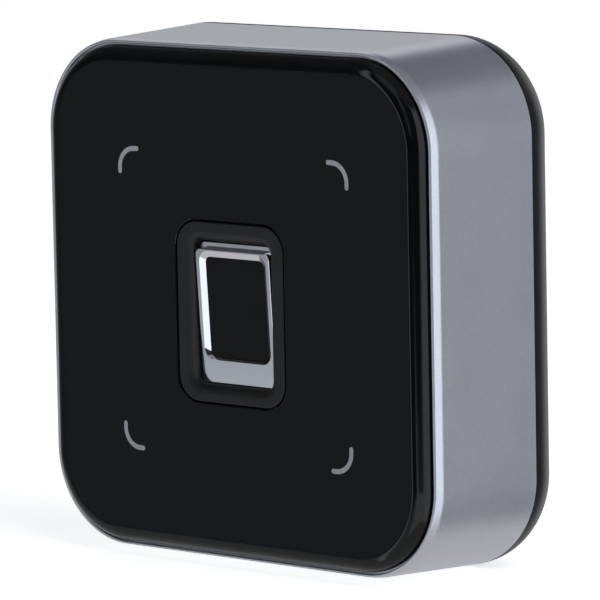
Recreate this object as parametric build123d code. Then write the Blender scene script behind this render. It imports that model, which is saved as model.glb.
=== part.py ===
from build123d import *
import os

# Wall-mounted fingerprint scanner terminal, in millimetres.
# Frame: origin on the wall plane behind the middle of the case, +Z up, the wall at y = 0,
# and the front of the terminal facing -Y.  "front" is always the lower y of a pair.

# ---- driving dimensions: case -------------------------------------------------------------
LIP_W = 89.5                # front outline of the silver frame
LIP_H = 90.1
LIP_CORNER = 16.4
SHOULDER_W = 90.2           # the lip slopes back to this outline
SHOULDER_H = 90.7
SHOULDER_CORNER = 16.7
FRAME_BACK_W = 92.26        # the silver frame flares towards the wall
FRAME_BACK_H = 92.7
FRAME_BACK_CORNER = 17.0
LIP_Y = -34.2               # front edge of the silver frame
SHOULDER_Y = -32.7
FRAME_BACK_Y = -9.1
LIP_ROUND = 0.2
SHOULDER_ROUND = 2.0
BACK_EDGE_ROUND = 0.2
FRAME_INNER = 86.0          # straight-walled cavity inside the silver frame
FRAME_INNER_CORNER = 14.6
DECK_FRONT = -33.4          # wall across the silver frame, behind the panel
DECK_BACK = -30.9
SEAL_OUTER = 91.2
SEAL_OUTER_CORNER = 16.4
SEAL_INNER = 87.2
SEAL_INNER_CORNER = 14.8

# ---- front panel --------------------------------------------------------------------------
PANEL_Y = -36.28            # flat outer face of the clear panel
PANEL_W = 87.5
PANEL_H = 88.6
PANEL_CORNER = 15.6
PANEL_GAP = 0.3             # visible joint between the panel and the silver lip
PANEL_EDGE_ROUND = 2.7
PANEL_THICK = 1.8
PRINT_THICK = 0.1
PRINT_FIELD = 82.4          # flat printed field behind the panel
PRINT_FIELD_CORNER = 13.0
FIT = 0.1                   # gap between a part and the recess it drops into

# ---- corner marks -------------------------------------------------------------------------
MARK_LINE = 26.65           # distance of the straight ends from the centre lines
MARK_RADIUS = 3.4
MARK_STROKE = 0.86
MARK_TAIL = 0.74
MARK_Z = -0.45              # the four marks are centred a little below the panel's middle
GUIDE_AT = 24.6             # centre of each light guide, from the centre lines
GUIDE_SIZE = 6.4            # square block of the guide that sits in the deck
GUIDE_CORNER = 1.0
GUIDE_FLANGE = 8.2
GUIDE_STEM_R = 2.1

# ---- fingerprint sensor -------------------------------------------------------------------
SURROUND_W = 24.85
SURROUND_H = 31.7
SURROUND_CORNER = 4.5
SURROUND_Z = -1.5
SURROUND_GAP = 0.3
SURROUND_Y = -36.26
SURROUND_FLANGE_W = 40.0
SURROUND_FLANGE_H = 36.0
SURROUND_BACK = -29.7
OPENING_W = 18.0
OPENING_H = 25.3
OPENING_Z = -1.67
OPENING_CORNER = 1.8
OPENING_ROLL = 1.6          # the surround rolls over into its opening
SENSOR_TILT = 3.6           # degrees, the top of the sensor stands proud
SENSOR_Y = -34.92           # centre of the bezel's face
SENSOR_Z = -2.07
BEZEL_W = 17.3
BEZEL_H = 23.8
BEZEL_Z = -0.28             # middle of the bezel, along its own lean
BEZEL_CORNER = 1.1
BEZEL_STEP = 1.4            # depth of the ledge above the bezel
BEZEL_LEDGE = 1.05          # height of that ledge
BEZEL_FLANGE_W = 22.0
BEZEL_FLANGE_H = 28.0
BEZEL_FLANGE_Z = 0.3
BEZEL_FLANGE_CORNER = 1.8
BEZEL_FLANGE_FRONT = 2.8
SENSOR_POCKET = 1.9         # depth at which the surround opens out for that flange
BEZEL_BACK = 4.0
WINDOW_W = 13.67
WINDOW_H = 17.9
WINDOW_Z = 1.22
WINDOW_DEPTH = 0.6
WINDOW_THICK = 1.2
WINDOW_CORNER = 1.1
BEVEL = 1.0                 # slope from the bezel's face down to the window
BEVEL_TOP = 1.15
BEVEL_LOW = 0.35

# ---- rear housing -------------------------------------------------------------------------
HOUSING_W = 91.8
HOUSING_H = 92.8
HOUSING_CORNER = 16.9
HOUSING_FRONT = -8.9
HOUSING_ROUND = 8.5
HOUSING_WALL = 2.0
RECESS_W = 71.0
RECESS_LOW = -36.6
RECESS_HIGH = 34.4
RECESS_DEPTH = 1.6
FLOOR_FRONT = -3.6
CAVITY_ROUND = 4.5
RIM_FRONT = -12.0           # locating tongue inside the silver frame
RIM_BACK = -7.4
RIM_WALL = 1.3
CABLE_HOLE_W = 34.0
CABLE_HOLE_H = 18.0

# ---- circuit board ------------------------------------------------------------------------
BOARD_W = 76.0
BOARD_H = 78.0
BOARD_FRONT = -22.5
BOARD_BACK = -20.9

# ---- fasteners ----------------------------------------------------------------------------
HOUSING_SCREW_X = 31.5
HOUSING_SCREW_Z = 16.0
HOUSING_SCREW_R = 1.25
HOUSING_POST_R = 3.4
HOUSING_BOSS_R = 4.2
HOUSING_BOSS_END = -14.0
HOUSING_SEAT = -4.4         # the screw heads rest at this depth
BOARD_SCREW_X = 33.5
BOARD_SCREW_Z = 31.0
BOARD_SCREW_R = 1.0
BOARD_POST_R = 2.8
SENSOR_SCREW_X = 17.3
SENSOR_SCREW_Z = 14.0       # above and below the middle of the surround
SENSOR_SCREW_R = 0.8
SENSOR_SCREW_HOLE_R = 0.95
BRACKET_BACK = SURROUND_BACK + 1.5

# ---- wall plate and release ---------------------------------------------------------------
SHEET = 1.2
PLATE_W = 70.0
PLATE_LOW = -33.4
PLATE_HIGH = 30.2
WALL_SLOT_SPACING = 60.0
WALL_SLOT_WIDTH = 4.4
WALL_SLOT_LENGTH = 7.0
HOOK_X = 18.0
HOOK_W = 10.0
HOOK_BAND = -5.4            # middle of the upturned sheet
HOOK_SHELF_Z = 31.6
HOOK_TOP = 35.0
TAB_W = 12.0
TAB_Z = -34.8
TAB_END = -8.4
SCREW_Y = -5.6              # axis of the security screw
SCREW_R = 1.25
SCREW_NECK_R = 0.9
SCREW_HEAD_R = 2.2
SCREW_LOW = -44.0           # underside of the head, backed off
SCREW_TIP = -36.2
WEB_LOW = -39.3             # web of the housing that keeps the screw captive
WEB_HIGH = -38.6

# ---- tamper switch ------------------------------------------------------------------------
TAMPER_Z = 28.9
PLUNGER_R = 1.5
PLUNGER_TIP = -SHEET
PLUNGER_END = -18.0
TAMPER_MOUTH = -13.9


# ---- shape helpers ------------------------------------------------------------------------
def facing(y, x=0.0, z=0.0):
    """Sketch plane at depth y whose normal points to the front; its x and y are X and Z."""
    return Plane(origin=(x, y, z), x_dir=(1, 0, 0), z_dir=(0, -1, 0))


def slab(width, height, corner, front, back, x=0.0, z=0.0):
    """Rounded rectangular plate between two depths."""
    outline = facing(back, x, z) * RectangleRounded(width, height, corner)
    return extrude(outline, amount=back - front)


def rod(radius, front, back, x=0.0, z=0.0):
    """Cylinder along Y between two depths."""
    return extrude(facing(back, x, z) * Circle(radius), amount=back - front)


def upright(radius, low, high, x=0.0, y=0.0):
    """Cylinder along Z between two heights."""
    return Pos(x, y, low) * extrude(Circle(radius), amount=high - low)


def block(x_range, y_range, z_range):
    """Box between two corners."""
    size = [high - low for low, high in (x_range, y_range, z_range)]
    middle = [(high + low) / 2 for low, high in (x_range, y_range, z_range)]
    return Pos(*middle) * Box(*size)


def taper(front_face, back_face):
    """Straight-sided solid between two outlines."""
    return loft([front_face, back_face], ruled=True)


def mirrored(x, z):
    """The four positions that x and z make about the centre lines."""
    return [(sx * x, sz * z) for sx in (-1, 1) for sz in (-1, 1)]


def tilted(shape):
    """Place a shape drawn about the bezel's face (y = 0, deeper is +y) on the leaning sensor."""
    return Pos(0, SENSOR_Y, SENSOR_Z) * Rot(SENSOR_TILT, 0, 0) * shape


def screw(head_r, head_len, shank_r, shank_len, x, z, seat, socket_r):
    """Pan-head screw along Y whose head sits on the depth called seat, tip to the front."""
    head = rod(head_r, seat, seat + head_len, x, z)
    head = fillet(head.edges().group_by(Axis.Y)[-1], head_len * 0.35)
    head -= rod(socket_r, seat + head_len * 0.4, seat + head_len, x, z)
    shank = rod(shank_r, seat - shank_len, seat, x, z)
    return head + chamfer(shank.edges().group_by(Axis.Y)[0], shank_r * 0.25)


def save(name, *solids):
    """Write one node; several solids in it are identical pieces of one kind."""
    whole = solids[0] if len(solids) == 1 else Compound(children=list(solids))
    export_step(whole, f"parts/{name}.step")


# ---- case ---------------------------------------------------------------------------------
def front_frame():
    """Silver frame: flared square sleeve with a deck behind the panel and screw posts."""
    shoulder = facing(SHOULDER_Y) * RectangleRounded(SHOULDER_W, SHOULDER_H, SHOULDER_CORNER)
    lip = taper(facing(LIP_Y) * RectangleRounded(LIP_W, LIP_H, LIP_CORNER), shoulder)
    back = facing(FRAME_BACK_Y) * RectangleRounded(FRAME_BACK_W, FRAME_BACK_H, FRAME_BACK_CORNER)
    body = lip + taper(shoulder, back)
    shoulder_edges = body.edges().filter_by_position(Axis.Y, SHOULDER_Y - 0.1, SHOULDER_Y + 0.1)
    body = fillet(shoulder_edges, SHOULDER_ROUND)
    body = fillet(body.edges().group_by(Axis.Y)[-1], BACK_EDGE_ROUND)
    opening_w = PANEL_W + 2 * PANEL_GAP
    opening_h = PANEL_H + 2 * PANEL_GAP
    body -= slab(opening_w, opening_h, PANEL_CORNER + PANEL_GAP, LIP_Y - 1, DECK_FRONT)
    body = fillet(body.edges().group_by(Axis.Y)[0], LIP_ROUND)
    body -= slab(FRAME_INNER, FRAME_INNER, FRAME_INNER_CORNER, DECK_BACK, FRAME_BACK_Y + 1)
    body -= slab(
        SURROUND_W + SURROUND_GAP, SURROUND_H + SURROUND_GAP, SURROUND_CORNER,
        DECK_FRONT - 1, DECK_BACK + 1, z=SURROUND_Z,
    )
    for x, z in mirrored(GUIDE_AT, GUIDE_AT):
        window = GUIDE_SIZE + 2 * FIT
        body -= slab(window, window, GUIDE_CORNER + FIT, DECK_FRONT - 1, DECK_BACK + 1, x, z)
    for x, z in mirrored(SENSOR_SCREW_X, SENSOR_SCREW_Z):
        body -= rod(SENSOR_SCREW_R + 0.02, DECK_BACK - 2.1, DECK_BACK, x, z + SURROUND_Z)
    for x, z in mirrored(BOARD_SCREW_X, BOARD_SCREW_Z):
        post = rod(BOARD_POST_R, DECK_BACK - 0.5, BOARD_FRONT, x, z)
        body += post - rod(BOARD_SCREW_R + 0.02, BOARD_FRONT - 6.0, BOARD_FRONT, x, z)
    for x, z in mirrored(HOUSING_SCREW_X, HOUSING_SCREW_Z):
        post = rod(HOUSING_POST_R, DECK_BACK - 0.5, HOUSING_BOSS_END - FIT, x, z)
        body += post - rod(HOUSING_SCREW_R + 0.02, HOUSING_BOSS_END - 12.0, HOUSING_BOSS_END, x, z)
    return body


def housing_seal():
    """Thin gasket in the joint line between the silver frame and the rear housing."""
    outer = slab(SEAL_OUTER, SEAL_OUTER, SEAL_OUTER_CORNER, FRAME_BACK_Y, HOUSING_FRONT)
    inner = slab(SEAL_INNER, SEAL_INNER, SEAL_INNER_CORNER, FRAME_BACK_Y - 1, HOUSING_FRONT + 1)
    return outer - inner


def housing_envelope():
    """Outside of the rear housing, strongly rounded towards the wall."""
    body = slab(HOUSING_W, HOUSING_H, HOUSING_CORNER, HOUSING_FRONT, 0)
    return fillet(body.edges().group_by(Axis.Y)[-1], HOUSING_ROUND)


def housing_cavity():
    """Hollow inside of the rear housing, open to the front."""
    width = HOUSING_W - 2 * HOUSING_WALL
    height = HOUSING_H - 2 * HOUSING_WALL
    body = slab(width, height, HOUSING_CORNER - HOUSING_WALL, HOUSING_FRONT - 6, FLOOR_FRONT)
    return fillet(body.edges().group_by(Axis.Y)[-1], CAVITY_ROUND)


def locating_rim():
    """Tongue on the rear housing that centres it inside the silver frame."""
    size = FRAME_INNER - 2 * FIT
    corner = FRAME_INNER_CORNER - FIT
    ring = slab(size, size, corner, RIM_FRONT, RIM_BACK)
    inner = size - 2 * RIM_WALL
    return ring - slab(inner, inner, corner - RIM_WALL, RIM_FRONT - 1, RIM_BACK + 0.4)


def recess():
    """Shallow pocket in the back that takes the wall plate."""
    middle = (RECESS_LOW + RECESS_HIGH) / 2
    return slab(RECESS_W, RECESS_HIGH - RECESS_LOW, 7.0, -RECESS_DEPTH, 1.0, z=middle)


def security_boss():
    """Solid block low in the housing that carries the security screw."""
    return block((-9, 9), (-11.0, -RECESS_DEPTH), (-45.5, -31.4)) & housing_envelope()


def security_bores():
    """Pocket for the wall plate's tab, then thread space, web hole and counterbore below it."""
    pocket = block((-7, 7), (-9.4, 1.0), (RECESS_LOW, -32.8))
    pocket += upright(SCREW_R + 0.4, WEB_HIGH, RECESS_LOW + 0.1, y=SCREW_Y)
    pocket += upright(SCREW_NECK_R + 0.2, WEB_LOW - 0.1, WEB_HIGH + 0.1, y=SCREW_Y)
    return pocket + upright(SCREW_HEAD_R + 0.25, -50.0, WEB_LOW, y=SCREW_Y)


def rear_housing():
    """Black back shell with the wall-plate recess, screw bosses and cable opening."""
    envelope = housing_envelope()
    body = envelope - housing_cavity() + locating_rim() + security_boss()
    for side in (-1, 1):
        x = side * WALL_SLOT_SPACING / 2
        body += block((x - 7.4, x + 7.4), (-7.4, -RECESS_DEPTH - 0.5), (-6.4, 6.4))
    for x, z in mirrored(HOUSING_SCREW_X, HOUSING_SCREW_Z):
        body += rod(HOUSING_BOSS_R, HOUSING_BOSS_END, FLOOR_FRONT + 0.5, x, z)
    body -= recess()
    for side in (-1, 1):
        x = side * WALL_SLOT_SPACING / 2
        body -= slab(11.6, 9.6, 2.0, -5.8, 0.5, x)
        hook = side * HOOK_X
        body -= block((hook - 5.6, hook + 5.6), (-5.0, 0.0), (28.2, 32.6))
    for x, z in mirrored(HOUSING_SCREW_X, HOUSING_SCREW_Z):
        body -= rod(2.6, HOUSING_SEAT, 0.5, x, z)
        body -= rod(HOUSING_SCREW_R + 0.15, HOUSING_BOSS_END - 1, HOUSING_SEAT + 0.4, x, z)
    body -= slab(CABLE_HOLE_W, CABLE_HOLE_H, 2.5, -9.0, 0.5)
    body -= rod(1.9, -5.0, 0.5, 0, TAMPER_Z)
    return body - security_bores()


def housing_screws():
    """Screws from the back of the housing into the frame's posts."""
    spots = mirrored(HOUSING_SCREW_X, HOUSING_SCREW_Z)
    return [screw(2.25, 2.0, HOUSING_SCREW_R, 19.0, x, z, HOUSING_SEAT, 1.0) for x, z in spots]


# ---- front panel --------------------------------------------------------------------------
def surround_hole(front, back):
    """Clearance through the panel stack for the sensor surround."""
    width = SURROUND_W + 2 * SURROUND_GAP
    height = SURROUND_H + 2 * SURROUND_GAP
    return slab(width, height, SURROUND_CORNER + SURROUND_GAP, front, back, z=SURROUND_Z)


def front_panel():
    """Clear panel with a rounded edge, hollowed behind its flat field."""
    body = slab(PANEL_W, PANEL_H, PANEL_CORNER, PANEL_Y, DECK_FRONT - PRINT_THICK)
    body = fillet(body.edges().group_by(Axis.Y)[0], PANEL_EDGE_ROUND)
    body -= slab(PRINT_FIELD, PRINT_FIELD, PRINT_FIELD_CORNER, PANEL_Y + PANEL_THICK, DECK_FRONT)
    return body - surround_hole(PANEL_Y - 1, DECK_FRONT)


def corner_mark(stroke):
    """Outline of one mark in the upper right corner: a quarter arc with short round-ended tails."""
    centre = MARK_LINE - MARK_RADIUS
    half = stroke / 2
    ring = Circle(MARK_RADIUS + half) - Circle(MARK_RADIUS - half)
    quarter = MARK_RADIUS + stroke
    mark = Pos(centre, centre) * (ring & Pos(quarter / 2, quarter / 2) * Rectangle(quarter, quarter))
    tail_middle = centre - MARK_TAIL / 2
    tail_end = centre - MARK_TAIL
    mark += Pos(tail_middle, MARK_LINE) * Rectangle(MARK_TAIL, stroke)
    mark += Pos(MARK_LINE, tail_middle) * Rectangle(stroke, MARK_TAIL)
    mark += Pos(tail_end, MARK_LINE) * Circle(half)
    return mark + Pos(MARK_LINE, tail_end) * Circle(half)


def marks(stroke, front, back):
    """The four marks as separate solids between two depths."""
    outline = corner_mark(stroke)
    faces = [facing(back, z=MARK_Z) * Rot(0, 0, quarter * 90) * outline for quarter in range(4)]
    return [extrude(face, amount=back - front) for face in faces]


def panel_print():
    """Black film that lines the back of the panel, with four windows for the corner marks."""
    field = PRINT_FIELD - 2 * PRINT_THICK
    top = PANEL_Y + PANEL_THICK
    body = slab(PANEL_W, PANEL_H, PANEL_CORNER, DECK_FRONT - PRINT_THICK, DECK_FRONT)
    body += slab(PRINT_FIELD, PRINT_FIELD, PRINT_FIELD_CORNER, top, DECK_FRONT)
    body -= slab(field, field, PRINT_FIELD_CORNER - PRINT_THICK, top + PRINT_THICK, DECK_FRONT + 1)
    for mark in marks(MARK_STROKE, top - 1, top + 1):
        body -= mark
    return body - surround_hole(top - 1, DECK_FRONT + 1)


def corner_marks():
    """Diffusing inlays that fill the windows in the printed film."""
    top = PANEL_Y + PANEL_THICK
    return marks(MARK_STROKE, top, top + PRINT_THICK)


def panel_tape():
    """Foam tape that bonds the printed panel to the deck."""
    field = PRINT_FIELD - 1.2
    front = PANEL_Y + PANEL_THICK + PRINT_THICK
    body = slab(field, field, 12.4, front, DECK_FRONT)
    for x, z in mirrored(GUIDE_AT, GUIDE_AT):
        body -= slab(GUIDE_SIZE + 1.2, GUIDE_SIZE + 1.2, 1.2, front - 1, DECK_FRONT + 1, x, z)
    return body - slab(28.0, 35.0, 5.0, front - 1, DECK_FRONT + 1, z=SURROUND_Z)


def light_guides():
    """Clear guides that carry light from the board to the marks."""
    front = PANEL_Y + PANEL_THICK + PRINT_THICK
    guides = []
    heads = marks(MARK_STROKE - 0.1, front, DECK_FRONT + 0.2)
    spots = [(GUIDE_AT, GUIDE_AT), (-GUIDE_AT, GUIDE_AT), (-GUIDE_AT, -GUIDE_AT), (GUIDE_AT, -GUIDE_AT)]
    for head, (x, z) in zip(heads, spots):
        guide = head + slab(GUIDE_SIZE, GUIDE_SIZE, GUIDE_CORNER, DECK_FRONT + FIT, DECK_BACK, x, z)
        guide += slab(GUIDE_FLANGE, GUIDE_FLANGE, 1.5, DECK_BACK, DECK_BACK + 1.0, x, z)
        guide += rod(GUIDE_STEM_R, DECK_BACK + 0.9, BOARD_FRONT - 1.2, x, z)
        guides.append(guide)
    return guides


def status_leds():
    """Surface-mount lamps under the light guides."""
    depth = 0.95
    leds = []
    for x, z in mirrored(GUIDE_AT, GUIDE_AT):
        led = slab(3.2, 2.8, 0.2, BOARD_FRONT - depth, BOARD_FRONT, x, z)
        leds.append(led - rod(1.1, BOARD_FRONT - depth, BOARD_FRONT - 0.6, x, z))
    return leds


# ---- fingerprint sensor -------------------------------------------------------------------
def opening_edge(body):
    """The front edge of the surround's opening: on its face, inside the outer outline."""
    face_edges = body.edges().filter_by_position(Axis.Y, SURROUND_Y - 0.01, SURROUND_Y + 0.01)
    inside = face_edges.filter_by_position(Axis.X, -OPENING_W / 2 - 0.1, OPENING_W / 2 + 0.1)
    return inside.filter_by_position(
        Axis.Z, OPENING_Z - OPENING_H / 2 - 0.1, OPENING_Z + OPENING_H / 2 + 0.1)


def behind_bezel(more_w, more_h, corner, front, back):
    """Plate with the outline of the bezel's flange, larger by the two amounts."""
    return slab(BEZEL_FLANGE_W + more_w, BEZEL_FLANGE_H + more_h, corner, front, back, z=BEZEL_FLANGE_Z)


def sensor_surround():
    """Matte black frame round the sensor, dished towards its opening, with a rear flange."""
    body = slab(SURROUND_W, SURROUND_H, SURROUND_CORNER, SURROUND_Y, DECK_BACK, z=SURROUND_Z)
    body = fillet(body.edges().group_by(Axis.Y)[0], 0.25)
    flange = (SURROUND_FLANGE_W, SURROUND_FLANGE_H, 3.0)
    body += slab(*flange, DECK_BACK, SURROUND_BACK, z=SURROUND_Z)
    body -= slab(OPENING_W, OPENING_H, OPENING_CORNER, SURROUND_Y - 1, SURROUND_BACK + 1, z=OPENING_Z)
    body = fillet(opening_edge(body), OPENING_ROLL)
    body -= tilted(behind_bezel(0.4, 0.6, 2.0, SENSOR_POCKET, 12.0))
    for x, z in mirrored(SENSOR_SCREW_X, SENSOR_SCREW_Z):
        body -= rod(SENSOR_SCREW_HOLE_R, DECK_BACK - 1, SURROUND_BACK + 1, x, z + SURROUND_Z)
    return body


def sensor_bezel():
    """Chromed frame with a bevelled inner edge, a ledge above and a flange behind."""
    rear_h = BEZEL_H + BEZEL_LEDGE
    body = slab(BEZEL_W, BEZEL_H, BEZEL_CORNER, 0, BEZEL_BACK, z=BEZEL_Z)
    body = fillet(body.edges().group_by(Axis.Y)[0], 0.15)
    rear = slab(BEZEL_W, rear_h, BEZEL_CORNER, BEZEL_STEP, BEZEL_BACK, z=BEZEL_Z + BEZEL_LEDGE / 2)
    body += fillet(rear.edges().group_by(Axis.Y)[0], 0.15)
    body += behind_bezel(0.0, 0.0, BEZEL_FLANGE_CORNER, BEZEL_FLANGE_FRONT, BEZEL_BACK)
    wide_w = WINDOW_W + 2 * BEVEL
    wide_h = WINDOW_H + BEVEL_LOW + BEVEL_TOP
    wide = facing(-0.01, z=WINDOW_Z + (BEVEL_TOP - BEVEL_LOW) / 2)
    wide *= RectangleRounded(wide_w, wide_h, WINDOW_CORNER + BEVEL)
    deep = facing(WINDOW_DEPTH, z=WINDOW_Z) * RectangleRounded(WINDOW_W, WINDOW_H, WINDOW_CORNER)
    body -= taper(wide, deep)
    body -= slab(WINDOW_W, WINDOW_H, WINDOW_CORNER, 0.5, BEZEL_BACK + 1, z=WINDOW_Z)
    body -= slab(15.6, 20.4, 0.8, WINDOW_DEPTH + WINDOW_THICK, BEZEL_BACK + 1, z=0.6)
    return tilted(body)


def sensor_gasket():
    """Soft ring between the bezel's flange and the surround."""
    outer = behind_bezel(0.0, 0.2, BEZEL_FLANGE_CORNER, SENSOR_POCKET, BEZEL_FLANGE_FRONT)
    hole_h = BEZEL_H + BEZEL_LEDGE + 0.4
    hole = slab(BEZEL_W + 0.3, hole_h, 1.2, 1.0, 4.0, z=BEZEL_Z + BEZEL_LEDGE / 2)
    return tilted(outer - hole)


def sensor_window():
    """Black capacitive scanning surface."""
    size = (WINDOW_W - 0.06, WINDOW_H - 0.06, WINDOW_CORNER - 0.03)
    body = slab(*size, WINDOW_DEPTH, WINDOW_DEPTH + WINDOW_THICK, z=WINDOW_Z)
    return tilted(fillet(body.edges().group_by(Axis.Y)[0], 0.12))


def sensor_board():
    """Small circuit board bonded behind the scanning surface."""
    front = WINDOW_DEPTH + WINDOW_THICK
    return tilted(slab(15.4, 20.2, 0.6, front, front + 0.8, z=0.6))


def sensor_connector():
    """Flat-cable socket on the sensor's board."""
    front = WINDOW_DEPTH + WINDOW_THICK + 0.8
    body = block((-4, 4), (front, front + 1.5), (-5.5, -2.5))
    return tilted(body - block((-3.2, 3.2), (front + 0.6, front + 1.0), (-6, -3.5)))


def sensor_bracket():
    """Screwed-down bracket whose raised ring presses the leaning sensor into its surround."""
    ring = tilted(behind_bezel(-0.4, -0.4, BEZEL_FLANGE_CORNER, BEZEL_BACK, 9.0))
    ring &= slab(60, 60, 1.0, SURROUND_Y, BRACKET_BACK)
    flange = (SURROUND_FLANGE_W, SURROUND_FLANGE_H, 3.0)
    body = slab(*flange, SURROUND_BACK, BRACKET_BACK, z=SURROUND_Z) + ring
    body -= tilted(behind_bezel(0.6, 0.8, 1.9, 0.0, BEZEL_BACK))
    body -= slab(14.0, 22.0, 2.0, SURROUND_Y, BRACKET_BACK + 1, z=SENSOR_Z)
    for x, z in mirrored(SENSOR_SCREW_X, SENSOR_SCREW_Z):
        body -= rod(SENSOR_SCREW_HOLE_R, SURROUND_BACK - 1, BRACKET_BACK + 1, x, z + SURROUND_Z)
    return body


def sensor_screws():
    """Small screws that hold the bracket and the surround to the deck."""
    spots = mirrored(SENSOR_SCREW_X, SENSOR_SCREW_Z)
    size = (1.6, 1.0, SENSOR_SCREW_R, 4.6)
    return [screw(*size, x, z + SURROUND_Z, BRACKET_BACK, 0.6) for x, z in spots]


def sensor_cable():
    """Flat flexible cable from the sensor to the main board."""
    path = FilletPolyline((-31.2, -7.7), (-31.2, -8.6), (-24.6, -8.6), (-23.3, -25.4), radius=0.35)
    ribbon = Plane.YZ.offset(-3.0) * trace(path, 0.16)
    return extrude(ribbon, amount=6.0)


def cable_socket():
    """Flat-cable socket on the front of the main board."""
    body = block((-4.2, 4.2), (BOARD_FRONT - 1.6, BOARD_FRONT), (-29.0, -24.8))
    return body - block((-3.2, 3.2), (BOARD_FRONT - 1.1, BOARD_FRONT - 0.5), (-26.8, -24.0))


# ---- main board and its components --------------------------------------------------------
def main_board():
    """Circuit board that fills the case."""
    body = slab(BOARD_W, BOARD_H, 9.0, BOARD_FRONT, BOARD_BACK)
    for x, z in mirrored(BOARD_SCREW_X, BOARD_SCREW_Z):
        body -= rod(1.2, BOARD_FRONT - 1, BOARD_BACK + 1, x, z)
    for x, z in mirrored(HOUSING_SCREW_X, HOUSING_SCREW_Z):
        body -= rod(HOUSING_POST_R + 0.3, BOARD_FRONT - 1, BOARD_BACK + 1, x, z)
    return body


def board_screws():
    """Screws that hold the main board to the frame's posts."""
    spots = mirrored(BOARD_SCREW_X, BOARD_SCREW_Z)
    return [screw(2.1, 1.5, BOARD_SCREW_R, 6.6, x, z, BOARD_BACK, 0.8) for x, z in spots]


def on_back(width, height, tall, x, z):
    """Low rectangular package on the rear side of the main board."""
    body = slab(width, height, 0.2, BOARD_BACK, BOARD_BACK + tall, x, z)
    return chamfer(body.edges().group_by(Axis.Y)[-1], min(0.2, tall / 4))


def processor_chip():
    """Main processor with a pin-one dimple."""
    body = on_back(12.0, 12.0, 1.2, 13.0, 16.5)
    return body - rod(0.6, BOARD_BACK + 1.05, BOARD_BACK + 2, 8.6, 20.9)


def crystal():
    """Clock crystal in a metal can."""
    body = slab(5.0, 3.2, 0.8, BOARD_BACK, BOARD_BACK + 1.0, 3.0, 16.0)
    return fillet(body.edges().group_by(Axis.Y)[-1], 0.25)


def capacitors():
    """Can-type electrolytic capacitors on square bases."""
    cans = []
    for z in (1.5, -6.5):
        can = slab(6.6, 6.6, 0.8, BOARD_BACK, BOARD_BACK + 1.0, 21.5, z)
        body = rod(3.15, BOARD_BACK + 0.9, BOARD_BACK + 7.7, 21.5, z)
        cans.append(can + fillet(body.edges().group_by(Axis.Y)[-1], 0.4))
    return cans


def inductor():
    """Shielded power inductor."""
    body = slab(7.0, 7.0, 1.0, BOARD_BACK, BOARD_BACK + 3.5, -22.5, -4.0)
    return body - rod(2.4, BOARD_BACK + 3.1, BOARD_BACK + 4, -22.5, -4.0)


def relay():
    """Sealed relay that switches the door lock."""
    body = slab(15.5, 19.0, 0.8, BOARD_BACK, BOARD_BACK + 15.0, -16.5, -20.5)
    return fillet(body.edges().group_by(Axis.Y)[-1], 0.6)


def buzzer():
    """Round sounder with a small sound hole."""
    body = rod(6.0, BOARD_BACK, BOARD_BACK + 5.5, 16.5, -21.0)
    body = fillet(body.edges().group_by(Axis.Y)[-1], 0.5)
    return body - rod(1.0, BOARD_BACK + 2.5, BOARD_BACK + 6, 16.5, -21.0)


def battery_holder():
    """Cup on the front of the board that takes the coin cell."""
    cup = rod(7.4, BOARD_FRONT - 2.6, BOARD_FRONT, 0, 28.0)
    cup -= rod(6.35, BOARD_FRONT - 3, BOARD_FRONT - 0.5, 0, 28.0)
    return cup - block((-3.0, 3.0), (BOARD_FRONT - 3, BOARD_FRONT - 1.2), (33.0, 36.0))


def backup_battery():
    """Coin cell that keeps the clock running."""
    body = rod(6.25, BOARD_FRONT - 2.5, BOARD_FRONT - 0.5, 0, 28.0)
    return fillet(body.edges().group_by(Axis.Y)[0], 0.3)


def terminal_header():
    """Board socket for the wall cable, open to the back with a cavity for each contact."""
    body = block((-13.5, 13.5), (BOARD_BACK, BOARD_BACK + 7.4), (-4.4, 4.4))
    return body - block((-12.5, 12.5), (BOARD_BACK + 2.0, BOARD_BACK + 8), (-3.4, 3.4))


def terminal_plug():
    """Plug with clamping terminals that the wall cable's wires go into."""
    body = block((-12.4, 12.4), (BOARD_BACK + 2.2, BOARD_BACK + 9.6), (-3.3, 3.3))
    body += block((-13.2, 13.2), (BOARD_BACK + 7.6, BOARD_BACK + 12.6), (-4.2, 4.2))
    for way in range(8):
        x = (way - 3.5) * 3.2
        body -= rod(1.15, BOARD_BACK + 8.6, BOARD_BACK + 13, x, -1.6)
        body -= rod(0.9, BOARD_BACK + 11.4, BOARD_BACK + 13, x, 2.0)
    return body


# ---- tamper switch ------------------------------------------------------------------------
def tamper_switch():
    """Switch body on the board that guides the tamper plunger."""
    body = slab(8.0, 7.6, 0.6, BOARD_BACK, TAMPER_MOUTH, 0, TAMPER_Z)
    return body - rod(PLUNGER_R + 0.05, -20.0, TAMPER_MOUTH + 1, 0, TAMPER_Z)


def tamper_plunger():
    """Round-tipped rod that the wall plate holds in."""
    body = rod(PLUNGER_R, PLUNGER_END, PLUNGER_TIP - PLUNGER_R, 0, TAMPER_Z)
    return body + Pos(0, PLUNGER_TIP - PLUNGER_R, TAMPER_Z) * Sphere(PLUNGER_R)


def tamper_spring():
    """Small coil behind the plunger, shown compressed."""
    wire = 0.14
    radius = 1.15
    coil = Helix(pitch=0.42, height=1.26, radius=radius)
    section = Plane(origin=coil @ 0, z_dir=coil % 0) * Circle(wire)
    spring = sweep(section, path=coil, is_frenet=True)
    return Pos(0, -18.25, TAMPER_Z) * Rot(90, 0, 0) * spring


# ---- wall plate and security screw --------------------------------------------------------
def bent_strip(points, width, x=0.0):
    """Strip of sheet that follows a path of (y, z) points with rounded bends."""
    path = FilletPolyline(*points, radius=SHEET)
    strip = Plane.YZ.offset(x - width / 2) * trace(path, SHEET)
    return extrude(strip, amount=width)


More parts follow.
